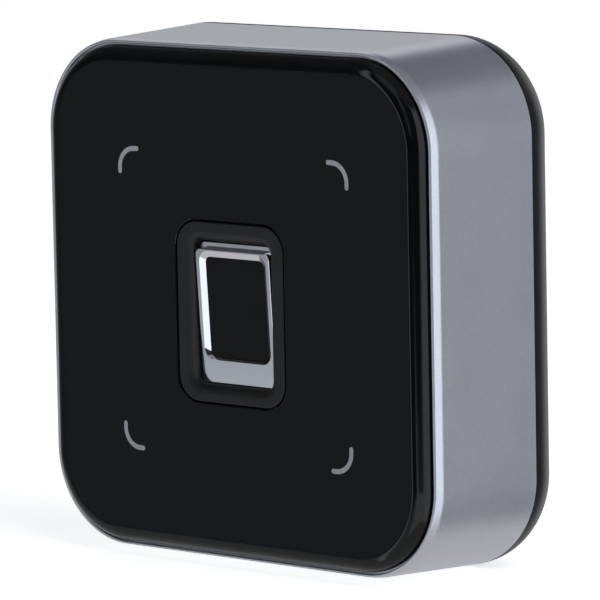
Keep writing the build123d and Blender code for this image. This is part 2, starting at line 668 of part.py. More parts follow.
def wall_slots():
    """Two horizontal slots on a wall box's screw spacing."""
    slots = []
    for side in (-1, 1):
        plane = facing(1, side * WALL_SLOT_SPACING / 2)
        slots.append(extrude(plane * SlotOverall(WALL_SLOT_LENGTH, WALL_SLOT_WIDTH), amount=4))
    return slots[0] + slots[1]


def wall_plate():
    """Pressed steel plate with two hooks at the top and a threaded tab at the bottom."""
    middle = (PLATE_HIGH + PLATE_LOW) / 2
    centre = -SHEET / 2
    body = slab(PLATE_W, PLATE_HIGH - PLATE_LOW, 6.0, -SHEET, 0, z=middle)
    body += slab(21.0, 9.0, 2.0, -SHEET, 0, z=28.9)
    for side in (-1, 1):
        hook = [(centre, 29.0), (centre, HOOK_SHELF_Z), (HOOK_BAND, HOOK_SHELF_Z), (HOOK_BAND, HOOK_TOP)]
        body += bent_strip(hook, HOOK_W, side * HOOK_X)
    body += bent_strip([(centre, -32.0), (centre, TAB_Z), (TAB_END, TAB_Z)], TAB_W)
    body -= upright(SCREW_R + 0.05, TAB_Z - 2, TAB_Z + 2, y=SCREW_Y)
    body -= slab(38.0, 22.0, 3.0, -SHEET - 1, 1)
    return body - wall_slots()


def security_screw():
    """Captive screw: its thread can't pass back through the hole that its neck turns in."""
    head_top = SCREW_LOW + 1.4
    neck_top = WEB_HIGH + 0.1
    head = upright(SCREW_HEAD_R, SCREW_LOW, head_top, y=SCREW_Y)
    head = fillet(head.edges().group_by(Axis.Z)[0], 0.4)
    socket = Pos(0, SCREW_Y, SCREW_LOW) * extrude(RegularPolygon(1.1, 6), amount=0.9)
    thread = upright(SCREW_R, neck_top, SCREW_TIP, y=SCREW_Y)
    thread = chamfer(thread.edges().group_by(Axis.Z)[-1], 0.3)
    neck = upright(SCREW_NECK_R, head_top - 0.1, neck_top + 0.1, y=SCREW_Y)
    return head - socket + neck + thread


def build():
    """Write every node."""
    os.makedirs("parts", exist_ok=True)
    save("front_frame", front_frame())
    save("housing_seal", housing_seal())
    save("rear_housing", rear_housing())
    save("front_panel", front_panel())
    save("panel_print", panel_print())
    save("corner_marks", *corner_marks())
    save("panel_tape", panel_tape())
    save("light_guides", *light_guides())
    save("status_leds", *status_leds())
    save("sensor_surround", sensor_surround())
    save("sensor_bezel", sensor_bezel())
    save("sensor_gasket", sensor_gasket())
    save("sensor_window", sensor_window())
    save("sensor_board", sensor_board())
    save("sensor_connector", sensor_connector())
    save("sensor_bracket", sensor_bracket())
    save("sensor_screws", *sensor_screws())
    save("sensor_cable", sensor_cable())
    save("cable_socket", cable_socket())
    save("main_board", main_board())
    save("board_screws", *board_screws())
    save("processor_chip", processor_chip())
    save("memory_chip", on_back(6.0, 8.0, 1.0, -5.5, 16.5))
    save("crystal", crystal())
    save("transceiver_chip", on_back(5.0, 6.2, 1.6, -15.5, 16.5))
    save("voltage_regulator", on_back(6.5, 6.1, 2.3, -22.5, 4.5))
    save("inductor", inductor())
    save("capacitors", *capacitors())
    save("relay", relay())
    save("buzzer", buzzer())
    save("battery_holder", battery_holder())
    save("backup_battery", backup_battery())
    save("terminal_header", terminal_header())
    save("terminal_plug", terminal_plug())
    save("tamper_switch", tamper_switch())
    save("tamper_plunger", tamper_plunger())
    save("tamper_spring", tamper_spring())
    save("housing_screws", *housing_screws())
    save("wall_plate", wall_plate())
    save("security_screw", security_screw())


build()
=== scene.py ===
"""Looks of the wall-mounted fingerprint scanner terminal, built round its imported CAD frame.

Everything is in metres in the CAD frame: the wall is y = 0, the front faces -Y, +Z is up.
"""
import math
import bmesh
import bpy
from mathutils import Matrix, Vector


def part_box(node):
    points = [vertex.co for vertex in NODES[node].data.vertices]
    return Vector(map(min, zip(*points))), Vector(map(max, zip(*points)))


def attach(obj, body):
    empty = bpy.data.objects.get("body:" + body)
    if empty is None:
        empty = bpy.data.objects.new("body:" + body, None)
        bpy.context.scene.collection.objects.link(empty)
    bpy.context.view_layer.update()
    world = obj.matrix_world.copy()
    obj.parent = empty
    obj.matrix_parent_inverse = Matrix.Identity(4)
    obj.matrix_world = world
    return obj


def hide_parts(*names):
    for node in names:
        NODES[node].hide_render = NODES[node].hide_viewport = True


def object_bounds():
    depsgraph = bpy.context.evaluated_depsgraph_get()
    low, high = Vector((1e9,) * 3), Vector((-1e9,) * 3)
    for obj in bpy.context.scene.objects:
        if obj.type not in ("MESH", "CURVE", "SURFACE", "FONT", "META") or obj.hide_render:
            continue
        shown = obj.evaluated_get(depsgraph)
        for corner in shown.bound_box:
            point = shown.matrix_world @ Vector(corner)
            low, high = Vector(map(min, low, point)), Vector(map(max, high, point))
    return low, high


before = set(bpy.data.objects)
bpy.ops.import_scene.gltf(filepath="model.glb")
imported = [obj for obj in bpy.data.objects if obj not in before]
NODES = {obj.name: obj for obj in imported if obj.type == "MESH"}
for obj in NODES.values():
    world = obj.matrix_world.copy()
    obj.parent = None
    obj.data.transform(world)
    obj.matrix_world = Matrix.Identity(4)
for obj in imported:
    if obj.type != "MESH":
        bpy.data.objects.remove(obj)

CAD_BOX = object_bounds()
MM = 0.001

# The sensor and its opening, in millimetres and degrees, as the CAD has them
OPENING_Z = -1.5
SENSOR_CENTRE = Vector((0, -34.92, -2.07))
SENSOR_TILT = 3.6


# ---- node graph helper --------------------------------------------------------------------
class Graph:
    """One material's (or the world's) node tree, with short calls for nodes that repeat."""

    def __init__(self, owner):
        owner.use_nodes = True
        self.tree = owner.node_tree
        self.tree.nodes.clear()

    def add(self, kind, **inputs):
        """New node; an input's value is a plain value or another node's output."""
        node = self.tree.nodes.new(kind)
        for name, value in inputs.items():
            key = int(name[1:]) if name[0] == "i" and name[1:].isdigit() else name.replace("_", " ")
            self.set(node.inputs[key], value)
        return node

    def set(self, socket, value):
        if isinstance(value, bpy.types.NodeSocket):
            self.tree.links.new(value, socket)
        else:
            socket.default_value = value

    def math(self, operation, a, b=0.0):
        node = self.tree.nodes.new("ShaderNodeMath")
        node.operation = operation
        self.set(node.inputs[0], a)
        self.set(node.inputs[1], b)
        return node.outputs[0]

    def vector(self, operation, a, b=(0, 0, 0)):
        node = self.tree.nodes.new("ShaderNodeVectorMath")
        node.operation = operation
        self.set(node.inputs[0], a)
        self.set(node.inputs[1], b)
        return node.outputs["Value" if operation == "DOT_PRODUCT" else "Vector"]

    def place(self, stretch=(1, 1, 1)):
        """The surface point in the CAD frame, in millimetres, stretched along each axis."""
        point = self.add("ShaderNodeTexCoord").outputs["Object"]
        scale = [s / MM for s in stretch]
        return self.vector("MULTIPLY", point, scale)

    def noise(self, size, detail=2.0, rough=0.5, stretch=(1, 1, 1)):
        """Smooth noise from 0 to 1 whose features are about size millimetres across."""
        node = self.add("ShaderNodeTexNoise", Vector=self.place(stretch))
        self.set(node.inputs["Scale"], 1.0 / size)
        self.set(node.inputs["Detail"], detail)
        self.set(node.inputs["Roughness"], rough)
        return node.outputs["Fac"]

    def cells(self, size, feature="F1"):
        """Pattern of cells about size millimetres across."""
        node = self.add("ShaderNodeTexVoronoi", Vector=self.place())
        node.feature = feature
        self.set(node.inputs["Scale"], 1.0 / size)
        return node

    def span(self, value, low, high, to_low=0.0, to_high=1.0):
        """value mapped smoothly from low..high to to_low..to_high, and held outside."""
        node = self.tree.nodes.new("ShaderNodeMapRange")
        node.interpolation_type = "SMOOTHSTEP"
        for name, x in zip(("Value", "From Min", "From Max", "To Min", "To Max"),
                           (value, low, high, to_low, to_high)):
            self.set(node.inputs[name], x)
        return node.outputs[0]

    def blend(self, share, first, second):
        """Colour mix."""
        node = self.tree.nodes.new("ShaderNodeMix")
        node.data_type = "RGBA"
        self.set(node.inputs[0], share)
        for socket, colour in zip((node.inputs[6], node.inputs[7]), (first, second)):
            self.set(socket, colour if isinstance(colour, bpy.types.NodeSocket) else rgba(colour))
        return node.outputs[2]

    def bump(self, height, depth, strength=1.0, below=None):
        """Normal from a height pattern whose full range is depth millimetres."""
        node = self.add("ShaderNodeBump", Height=height, Strength=strength)
        self.set(node.inputs["Distance"], depth * MM)
        if below is not None:
            self.set(node.inputs["Normal"], below)
        return node.outputs["Normal"]

    def surface(self, **inputs):
        """Principled shader joined to the output."""
        self.finish(self.add("ShaderNodeBsdfPrincipled", **inputs).outputs[0])

    def finish(self, shader):
        self.add("ShaderNodeOutputMaterial", Surface=shader)


def rgba(colour):
    return (*colour[:3], 1.0)


def new_material(name):
    material = bpy.data.materials.new(name)
    return material, Graph(material)


# ---- materials ----------------------------------------------------------------------------
def silver_paint():
    """Fine metallic silver paint: flakes, a faint orange peel and a satin clear coat."""
    material, g = new_material("silver_paint")
    flake = g.cells(0.11).outputs["Color"]
    flake_grey = g.vector("DOT_PRODUCT", flake, (0.33, 0.33, 0.33))
    cloud = g.noise(12.0, detail=2.0)
    shade = g.math("ADD", g.math("MULTIPLY", flake_grey, 0.75), g.math("MULTIPLY", cloud, 0.25))
    colour = g.blend(g.span(shade, 0.2, 0.8), (0.47, 0.49, 0.525), (0.57, 0.59, 0.625))
    tilt = g.bump(flake_grey, 0.008, 0.5)
    peel = g.bump(g.noise(0.7, detail=1.0), 0.012, 0.3, below=tilt)
    g.surface(
        Base_Color=colour, Metallic=0.85, Roughness=g.span(shade, 0.2, 0.8, 0.28, 0.35),
        Coat_Weight=0.12, Coat_Roughness=0.25, Normal=peel,
    )
    return material


def clear_lens():
    """Hard-coated clear panel; lamps reach through it, so what lies under it is lit."""
    material, g = new_material("clear_lens")
    smudge = g.noise(14.0, detail=4.0)
    glass = g.add(
        "ShaderNodeBsdfPrincipled", Base_Color=rgba((0.97, 0.985, 0.985)), IOR=1.49,
        Roughness=g.span(smudge, 0.45, 0.8, 0.0, 0.035), Transmission_Weight=1.0,
        Specular_IOR_Level=0.27,
    )
    clear = g.add("ShaderNodeBsdfTransparent", Color=rgba((0.93, 0.94, 0.94)))
    shadow = g.add("ShaderNodeLightPath").outputs["Is Shadow Ray"]
    mix = g.add("ShaderNodeMixShader", Fac=shadow, i1=glass.outputs[0], i2=clear.outputs[0])
    g.finish(mix.outputs[0])
    return material


def panel_edge():
    """Rounded border of the panel, where the black print behind it shows through."""
    material, g = new_material("panel_edge")
    haze = g.noise(10.0, detail=3.0)
    colour = g.blend(haze, (0.0018, 0.0022, 0.0024), (0.0028, 0.0034, 0.0038))
    g.surface(Base_Color=colour, IOR=1.49, Roughness=g.span(haze, 0.4, 0.8, 0.02, 0.06),
              Specular_IOR_Level=0.27)
    return material


def printed_black():
    """Opaque black screen print with the faint mottle of the mesh."""
    material, g = new_material("printed_black")
    mottle = g.noise(0.35, detail=2.0)
    colour = g.blend(mottle, (0.0018, 0.0024, 0.0026), (0.0026, 0.0034, 0.0036))
    g.surface(Base_Color=colour, Roughness=g.span(mottle, 0.3, 0.7, 0.6, 0.7),
              Specular_IOR_Level=0.0)
    return material


def mark_inlay():
    """Grey-white diffusing ink."""
    material, g = new_material("mark_inlay")
    grain = g.noise(0.12, detail=3.0)
    colour = g.blend(grain, (0.47, 0.49, 0.53), (0.58, 0.60, 0.64))
    g.surface(Base_Color=colour, Roughness=0.6, Specular_IOR_Level=0.1)
    return material


def textured_black(name, low, high, grain, depth, rough=(0.5, 0.65), shine=0.5):
    """Moulded black plastic with a fine spark-eroded texture."""
    material, g = new_material(name)
    cells = g.cells(grain, "SMOOTH_F1").outputs["Distance"]
    fine = g.noise(grain * 0.6, detail=3.0, rough=0.6)
    height = g.math("ADD", g.math("MULTIPLY", cells, 0.6), g.math("MULTIPLY", fine, 0.4))
    cloud = g.noise(6.0, detail=2.0)
    colour = g.blend(g.math("MULTIPLY", g.math("ADD", cloud, fine), 0.5), low, high)
    g.surface(
        Base_Color=colour, Roughness=g.span(fine, 0.3, 0.7, *rough),
        Specular_IOR_Level=shine, Normal=g.bump(height, depth, 0.8),
    )
    return material


def chrome():
    """Bright chrome plate over a moulding, with faint waviness and wiping marks."""
    material, g = new_material("chrome_plate")
    wave = g.noise(3.2, detail=1.0)
    wipe = g.noise(0.25, detail=3.0, stretch=(0.25, 1.0, 2.2))
    colour = g.blend(wipe, (0.70, 0.715, 0.74), (0.78, 0.79, 0.81))
    g.surface(
        Base_Color=colour, Metallic=1.0, Roughness=g.span(wipe, 0.35, 0.75, 0.07, 0.14),
        Normal=g.bump(wave, 0.02, 0.25),
    )
    return material


def sensor_black():
    """Smooth black sensing surface with a very fine lattice under its coat."""
    material, g = new_material("sensing_surface")
    fine = g.noise(0.05, detail=2.0)
    haze = g.noise(5.0, detail=3.0)
    colour = g.blend(fine, (0.004, 0.005, 0.0055), (0.008, 0.0095, 0.010))
    g.surface(
        Base_Color=colour, Roughness=g.span(haze, 0.3, 0.7, 0.16, 0.26),
        Specular_IOR_Level=0.08, Normal=g.bump(fine, 0.004, 0.3),
    )
    return material


def rubber(name, shade=0.012):
    """Black elastomer with a dusty bloom."""
    material, g = new_material(name)
    bloom = g.noise(2.5, detail=4.0, rough=0.65)
    colour = g.blend(bloom, (shade * 0.6,) * 3, (shade * 1.5,) * 3)
    g.surface(
        Base_Color=colour, Roughness=g.span(bloom, 0.3, 0.7, 0.7, 0.85),
        Normal=g.bump(g.noise(0.15, detail=2.0), 0.01, 0.5),
    )
    return material


def foam():
    """Closed-cell foam tape."""
    material, g = new_material("foam_tape")
    cells = g.cells(0.28).outputs["Distance"]
    colour = g.blend(cells, (0.012, 0.012, 0.013), (0.05, 0.05, 0.052))
    g.surface(Base_Color=colour, Roughness=0.9, Normal=g.bump(cells, 0.12, 0.9))
    return material


def clear_guide():
    """Clear moulded light guide with a slight frost."""
    material, g = new_material("clear_guide")
    frost = g.noise(0.8, detail=3.0)
    g.surface(
        Base_Color=rgba((0.9, 0.93, 0.95)), IOR=1.49, Transmission_Weight=0.9,
        Roughness=g.span(frost, 0.3, 0.7, 0.08, 0.2),
    )
    return material


def plain_plastic(name, low, high, rough=(0.35, 0.5), grain=0.3):
    """Moulded plastic: slight colour drift, fine grain and uneven gloss."""
    material, g = new_material(name)
    drift = g.noise(4.0, detail=3.0)
    fine = g.noise(grain, detail=3.0)
    g.surface(
        Base_Color=g.blend(drift, low, high), Roughness=g.span(fine, 0.3, 0.7, *rough),
        Normal=g.bump(fine, 0.01, 0.5),
    )
    return material


def plated_steel(name, low, high, rough=(0.28, 0.42), stretch=(0.12, 1.0, 1.0)):
    """Zinc-plated steel: drawn grain, spangle and dull patches."""
    material, g = new_material(name)
    grain = g.noise(0.35, detail=4.0, stretch=stretch)
    spangle = g.cells(3.0).outputs["Color"]
    patch = g.vector("DOT_PRODUCT", spangle, (0.33, 0.33, 0.33))
    shade = g.math("ADD", g.math("MULTIPLY", grain, 0.6), g.math("MULTIPLY", patch, 0.4))
    g.surface(
        Base_Color=g.blend(shade, low, high), Metallic=1.0,
        Roughness=g.span(shade, 0.25, 0.75, *rough), Normal=g.bump(grain, 0.01, 0.4),
    )
    return material


def circuit_board():
    """Solder mask over copper: traces step where the copper runs, with plated pads and vias."""
    material, g = new_material("circuit_board")
    point = g.add("ShaderNodeSeparateXYZ", Vector=g.place())
    across, up = point.outputs["X"], point.outputs["Z"]
    lane = g.math("FLOOR", g.math("MULTIPLY", up, 0.45))
    bend = g.math("PINGPONG", g.math("ADD", across, g.math("MULTIPLY", lane, 5.3)), 6.0)
    run = g.math("PINGPONG", g.math("ADD", up, bend), 0.42)
    trace = g.span(run, 0.2, 0.26)
    area = g.span(g.noise(7.0, detail=1.0), 0.46, 0.5)
    copper = g.math("MULTIPLY", trace, area)
    via_field = g.add("ShaderNodeTexVoronoi", Vector=g.place((1, 0, 1)))
    g.set(via_field.inputs["Scale"], 0.4)
    g.set(via_field.inputs["Randomness"], 0.65)
    via = g.span(via_field.outputs["Distance"], 0.13, 0.16, 1.0, 0.0)
    mask = g.blend(copper, (0.006, 0.055, 0.025), (0.012, 0.12, 0.055))
    colour = g.blend(via, mask, (0.75, 0.62, 0.32))
    height = g.math("ADD", copper, via)
    g.surface(
        Base_Color=colour, Metallic=via, Roughness=g.span(g.noise(1.5), 0.3, 0.7, 0.22, 0.34),
        Normal=g.bump(height, 0.03, 0.7), Coat_Weight=0.4, Coat_Roughness=0.15,
    )
    return material


def flat_cable():
    """Amber film with copper conductors showing through as stripes."""
    material, g = new_material("flat_cable")
    across = g.add("ShaderNodeSeparateXYZ", Vector=g.place()).outputs["X"]
    stripe = g.span(g.math("PINGPONG", across, 0.25), 0.09, 0.13)
    colour = g.blend(stripe, (0.42, 0.19, 0.03), (0.62, 0.36, 0.10))
    g.surface(Base_Color=colour, Roughness=0.3, Coat_Weight=0.5,
              Normal=g.bump(stripe, 0.02, 0.6))
    return material


def lamp_package():
    """White lamp package with a yellow phosphor face."""
    material, g = new_material("lamp_package")
    grain = g.noise(0.2, detail=3.0)
    colour = g.blend(grain, (0.80, 0.74, 0.42), (0.88, 0.84, 0.60))
    g.surface(Base_Color=colour, Roughness=g.span(grain, 0.3, 0.7, 0.3, 0.45))
    return material


STEEL = ((0.46, 0.47, 0.49), (0.62, 0.63, 0.65))
BLACK_PACKAGE = ((0.012, 0.012, 0.013), (0.024, 0.024, 0.026))


def dress_nodes():
    """Gives every CAD node its material."""
    steel = plated_steel("zinc_plate", *STEEL)
    screw = plated_steel("screw_plate", *STEEL, rough=(0.2, 0.34), stretch=(1, 1, 1))
    tin = plated_steel("bright_can", (0.6, 0.6, 0.61), (0.72, 0.72, 0.73), rough=(0.14, 0.26))
    board = circuit_board()
    package = textured_black("moulded_package", *BLACK_PACKAGE, grain=0.18, depth=0.02)
    natural = plain_plastic("natural_plastic", (0.66, 0.63, 0.54), (0.74, 0.71, 0.62))
    green = plain_plastic("green_plastic", (0.02, 0.19, 0.075), (0.035, 0.25, 0.10))
    by_node = {
        "front_frame": silver_paint(),
        "panel_print": printed_black(),
        "corner_marks": mark_inlay(),
        "panel_tape": foam(),
        "light_guides": clear_guide(),
        "status_leds": lamp_package(),
        "sensor_surround": textured_black(
            "textured_surround", (0.003, 0.0033, 0.0039), (0.008, 0.0086, 0.0100), 0.17, 0.09,
            rough=(0.36, 0.5), shine=0.36),
        "sensor_bezel": chrome(),
        "sensor_gasket": rubber("gasket_rubber"),
        "sensor_window": sensor_black(),
        "sensor_board": board,
        "sensor_connector": natural,
        "sensor_bracket": package,
        "sensor_cable": flat_cable(),
        "cable_socket": natural,
        "housing_seal": rubber("seal_rubber", 0.006),
        "rear_housing": textured_black(
            "satin_housing", (0.0035, 0.0037, 0.0042), (0.007, 0.0072, 0.008), 0.22, 0.012,
            rough=(0.27, 0.36), shine=0.25),
        "main_board": board,
        "processor_chip": package,
        "memory_chip": package,
        "transceiver_chip": package,
        "voltage_regulator": package,
        "inductor": package,
        "buzzer": package,
        "crystal": tin,
        "capacitors": tin,
        "backup_battery": tin,
        "relay": plain_plastic("relay_case", (0.01, 0.05, 0.22), (0.015, 0.07, 0.30), (0.2, 0.32)),
        "battery_holder": natural,
        "terminal_header": green,
        "terminal_plug": green,
        "tamper_switch": package,
        "tamper_plunger": plain_plastic("acetal", (0.68, 0.67, 0.63), (0.76, 0.75, 0.71)),
        "tamper_spring": tin,
        "sensor_screws": screw,
        "board_screws": screw,
        "housing_screws": screw,
        "security_screw": screw,
        "wall_plate": steel,
        "front_panel": clear_lens(),
    }
    for name, material in by_node.items():
        for slot in NODES[name].material_slots:
            slot.material = material
    return by_node


# ---- mesh pieces, all in millimetres until the mesh is made -------------------------------
def rounded_rectangle(width, height, corner, y, z=0.0, steps=20):
    """Points round a rounded rectangle at depth y, in millimetres, anticlockwise from +X."""
    points = []
    for turn, (sx, sz) in enumerate(((1, 1), (-1, 1), (-1, -1), (1, -1))):
        cx = sx * (width / 2 - corner)
        cz = sz * (height / 2 - corner) + z
        for step in range(steps + 1):
            angle = math.radians(90) * (turn + step / steps)
            points.append((cx + corner * math.cos(angle), y, cz + corner * math.sin(angle)))
    return points


def mesh_piece(name, body, rings, material, closed=True, sharp=35.0):
    """Skin over rings of equal length, in millimetres: closed on itself, or capped at its ends."""
    mesh = bpy.data.meshes.new(name)
    bm = bmesh.new()
    made = [[bm.verts.new(Vector(p) * MM) for p in ring] for ring in rings]
    pairs = list(zip(made, made[1:] + ([made[0]] if closed else [])))
    if not closed:
        bm.faces.new(made[0])
        bm.faces.new(made[-1])
    count = len(rings[0])
    for a, b in pairs:
        for i in range(count):
            j = (i + 1) % count
            bm.faces.new((a[i], a[j], b[j], b[i]))
    bmesh.ops.recalc_face_normals(bm, faces=bm.faces)
    bm.to_mesh(mesh)
    bm.free()
    mesh.materials.append(material)
    mesh.shade_smooth()
    mesh.set_sharp_from_angle(angle=math.radians(sharp))
    piece = bpy.data.objects.new(name, mesh)
    bpy.context.scene.collection.objects.link(piece)
    even = piece.modifiers.new("even_normals", "WEIGHTED_NORMAL")
    even.keep_sharp = True
    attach(piece, body)
    return piece


def size_mm(node):
    """(low, high) corners of a CAD node in millimetres."""
    low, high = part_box(node)
    return low / MM, high / MM


def mid_depth(low, high):
    """Matrix that lays a sheet in the plane halfway between two corners' depths."""
    return Matrix.Translation(Vector((0, (low.y + high.y) / 2, 0)) * MM)


def panel_lens(clear, edge):
    """The front panel with its back sunk a hair into the print, as if bonded to it."""
    low, high = size_mm("front_panel")
    width, height, face, skirt = high.x - low.x, high.z - low.z, low.y, high.y
    corner, rounding, thick, sink = 15.6, 2.7, 1.8, 0.04
    field, field_corner, field_step = 82.4, 13.0, 0.01
    hole_w, hole_h, hole_corner, hole_edge = 25.45, 32.3, 4.8, 0.12
    steps = 16

    def outline(inset, y):
        return rounded_rectangle(width - 2 * inset, height - 2 * inset, corner - inset, y)

    def hole(grow, y):
        size = (hole_w + 2 * grow, hole_h + 2 * grow, hole_corner + grow)
        return rounded_rectangle(*size, y, OPENING_Z)

    def recess(side, y):
        return rounded_rectangle(side, side, field_corner, y)

    back = face + thick + sink
    rings = [hole(0.0, back), hole(0.0, face + hole_edge), hole(hole_edge, face)]
    for step in range(steps + 1):
        angle = math.radians(90) * step / steps
        inset, drop = rounding * (1 - math.sin(angle)), rounding * (1 - math.cos(angle))
        rings.append(outline(inset, face + drop))
    rings.append(outline(0.0, skirt + sink))
    rings.append(recess(field + field_step, skirt + sink))
    rings.append(recess(field - sink, back))
    piece = mesh_piece("clear_panel", "terminal", rings, clear)
    piece.data.materials.append(edge)
    front, rear = 2, len(rings) - 1
    loop = len(rings[0])
    for number, polygon in enumerate(piece.data.polygons):
        polygon.material_index = 0 if number // loop in (front, rear) else 1
    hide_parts("front_panel")


def soft_sheet(name, node, loops, thickness, edge, material, place):
    """Soft part cut from sheet: flat outlines with rounded edges, laid by the matrix place."""
    curve = bpy.data.curves.new(name, "CURVE")
    curve.dimensions, curve.fill_mode = "2D", "BOTH"
    curve.extrude = (thickness / 2 - edge) * MM
    curve.bevel_depth, curve.bevel_resolution, curve.offset = edge * MM, 3, -edge * MM
    for loop in loops:
        spline = curve.splines.new("POLY")
        spline.points.add(len(loop) - 1)
        for point, (x, _, z) in zip(spline.points, loop):
            point.co = (x * MM, z * MM, 0, 1)
        spline.use_cyclic_u = True
    holder = bpy.data.objects.new(name + "_outline", curve)
    bpy.context.scene.collection.objects.link(holder)
    filled = holder.evaluated_get(bpy.context.evaluated_depsgraph_get())
    mesh = bpy.data.meshes.new_from_object(filled)
    bpy.data.objects.remove(holder)
    mesh.transform(place @ Matrix.Rotation(math.radians(90), 4, "X"))
    mesh.materials.clear()
    mesh.materials.append(material)
    mesh.shade_smooth()
    mesh.set_sharp_from_angle(angle=math.radians(50))
    piece = bpy.data.objects.new(name, mesh)
    bpy.context.scene.collection.objects.link(piece)
    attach(piece, "terminal")
    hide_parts(node)


def seal_bead(material):
    """Seal between the silver frame and the rear housing, with a slightly swollen edge."""
    low, high = size_mm("housing_seal")
    width, height, strip = high.x - low.x, high.z - low.z, 2.0
    outer = rounded_rectangle(width, height, 16.4, 0)
    inner = rounded_rectangle(width - 2 * strip, height - 2 * strip, 14.8, 0)
    soft_sheet("seal_bead", "housing_seal", (outer, inner), high.y - low.y, 0.08, material,
               mid_depth(low, high))


def gasket_ring(material):
    """Gasket under the sensor, leaning with it."""
    depth_below_sensor, thickness, edge = 2.35, 0.86, 0.25
    lean = Matrix.Translation(SENSOR_CENTRE * MM)
    lean = lean @ Matrix.Rotation(math.radians(SENSOR_TILT), 4, "X")
    lean = lean @ Matrix.Translation(Vector((0, depth_below_sensor, 0)) * MM)
    outer = rounded_rectangle(21.95, 28.15, 1.8, 0, 0.3)
    inner = rounded_rectangle(17.65, 25.3, 1.2, 0, 0.245)
    soft_sheet("gasket_ring", "sensor_gasket", (outer, inner), thickness, edge, material,
               lean)


def foam_layer(material):
    """Foam tape behind the panel print, cut out for the sensor and the four marks."""
    low, high = size_mm("panel_tape")
    trim, squash = 0.1, 0.02
    window_side, window_corner, window_from_middle = 7.7, 1.2, 24.6
    loops = [
        rounded_rectangle(high.x - low.x - trim, high.z - low.z - trim, 12.4, 0),
        rounded_rectangle(28.1, 35.1, 5.0, 0, OPENING_Z),
    ]
    for x in (-window_from_middle, window_from_middle):
        for z in (-window_from_middle, window_from_middle):
            window = rounded_rectangle(window_side, window_side, window_corner, 0, z, steps=5)
            loops.append([(px + x, py, pz) for px, py, pz in window])
    soft_sheet("foam_layer", "panel_tape", loops, high.y - low.y - squash, 0.12, material,
               mid_depth(low, high))


def rounded_path(points, radius, steps=8):
    """(y, z) points of a path whose inner corners are turned into arcs."""
    path = [Vector(points[0])]
    for before, corner, after in zip(points, points[1:], points[2:]):
        corner = Vector(corner)
        to_before = (Vector(before) - corner).normalized()
        to_after = (Vector(after) - corner).normalized()
        half = to_before.angle(to_after) / 2
        start = corner + to_before * radius / math.tan(half)
        end = corner + to_after * radius / math.tan(half)
        for step in range(steps + 1):
            t = step / steps
            path.append(start * (1 - t) ** 2 + corner * 2 * t * (1 - t) + end * t * t)
    path.append(Vector(points[-1]))
    return path


def ribbon_cable(material):
    """Flat flexible cable: thin film swelling over ten conductors, bent from socket to socket."""
    low, high = size_mm("sensor_cable")
    half_film, half_copper, conductors, margin = 0.055, 0.085, 10, 0.5
    pitch = (high.x - low.x - 2 * margin) / conductors
    section = [(low.x, half_film)]
    for conductor in range(conductors):
        start = low.x + margin + conductor * pitch
        profile = ((0.1, half_film), (0.25, half_copper), (0.75, half_copper), (0.9, half_film))
        section += [(start + share * pitch, half) for share, half in profile]
    section.append((high.x, half_film))

    half_cad, first_drop, last_run, bend_radius = 0.08, 0.9, 1.3, 0.5
    sensor_y, socket_y = low.y + half_cad, high.y - half_cad
    bend_z = high.z - first_drop
    path = rounded_path((
        (sensor_y, high.z), (sensor_y, bend_z), (socket_y - last_run, bend_z), (socket_y, low.z),
    ), bend_radius)
    rings = []
    for index, (y, z) in enumerate(path):
        ahead = path[min(index + 1, len(path) - 1)] - path[max(index - 1, 0)]
        side = Vector((-ahead.y, ahead.x)).normalized()
        ring = [(x, y + side.x * half, z + side.y * half) for x, half in section]
        ring += [(x, y - side.x * half, z - side.y * half) for x, half in reversed(section)]
        rings.append(ring)
    piece = mesh_piece("ribbon_cable", "terminal", rings, material, closed=False, sharp=60.0)
    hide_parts("sensor_cable")


# ---- floor, light and camera --------------------------------------------------------------
def toward(azimuth, elevation):
    """Unit vector to a place in the studio, in degrees: azimuth 0 is in front, 90 to the right."""
    a, e = math.radians(azimuth), math.radians(elevation)
    return Vector((math.sin(a) * math.cos(e), -math.cos(a) * math.cos(e), math.sin(e)))


def floor():
    """Pale floor just under the case; seen from below it is clear."""
    gap = 0.2 * MM
    bpy.ops.mesh.primitive_plane_add(size=6.0, location=(0, 0, CAD_BOX[0].z - gap))
    plane = bpy.context.object
    plane.name = "floor"
    material, g = new_material("pale_floor")
    grain = g.noise(3.0, detail=2.0)
    diffuse = g.add("ShaderNodeBsdfDiffuse", Color=g.blend(grain, (0.80,) * 3, (0.82,) * 3))
    glow = g.add("ShaderNodeEmission", Color=rgba((1, 1, 1)), Strength=0.70)
    lit = g.add("ShaderNodeAddShader", i0=diffuse.outputs[0], i1=glow.outputs[0])
    clear = g.add("ShaderNodeBsdfTransparent")
    below = g.add("ShaderNodeNewGeometry").outputs["Backfacing"]
    mix = g.add("ShaderNodeMixShader", Fac=below, i1=lit.outputs[0], i2=clear.outputs[0])
    g.finish(mix.outputs[0])
    plane.data.materials.append(material)
    plane.visible_glossy = False


def card(g, direction, under, azimuth, elevation, half_width, half_height, soft, colour):
    """Soft-edged card of light or shade in the studio, over what lies under it."""
    centre = toward(azimuth, elevation)
    right = toward(azimuth + 90, 0)
    up = right.cross(centre) * -1
    ahead = g.vector("DOT_PRODUCT", direction, centre)
    turn = g.math("ARCTAN2", g.vector("DOT_PRODUCT", direction, right), ahead)
    rise = g.math("ARCSINE", g.vector("DOT_PRODUCT", direction, up))
    reach = []
    for angle, half in ((turn, half_width), (rise, half_height)):
        size = g.math("MULTIPLY", g.math("ABSOLUTE", angle), 180 / math.pi)
        reach.append(g.span(size, max(half - soft / 2, 0), half + soft / 2, 1.0, 0.0))
    return g.blend(g.math("MULTIPLY", *reach), under, colour)


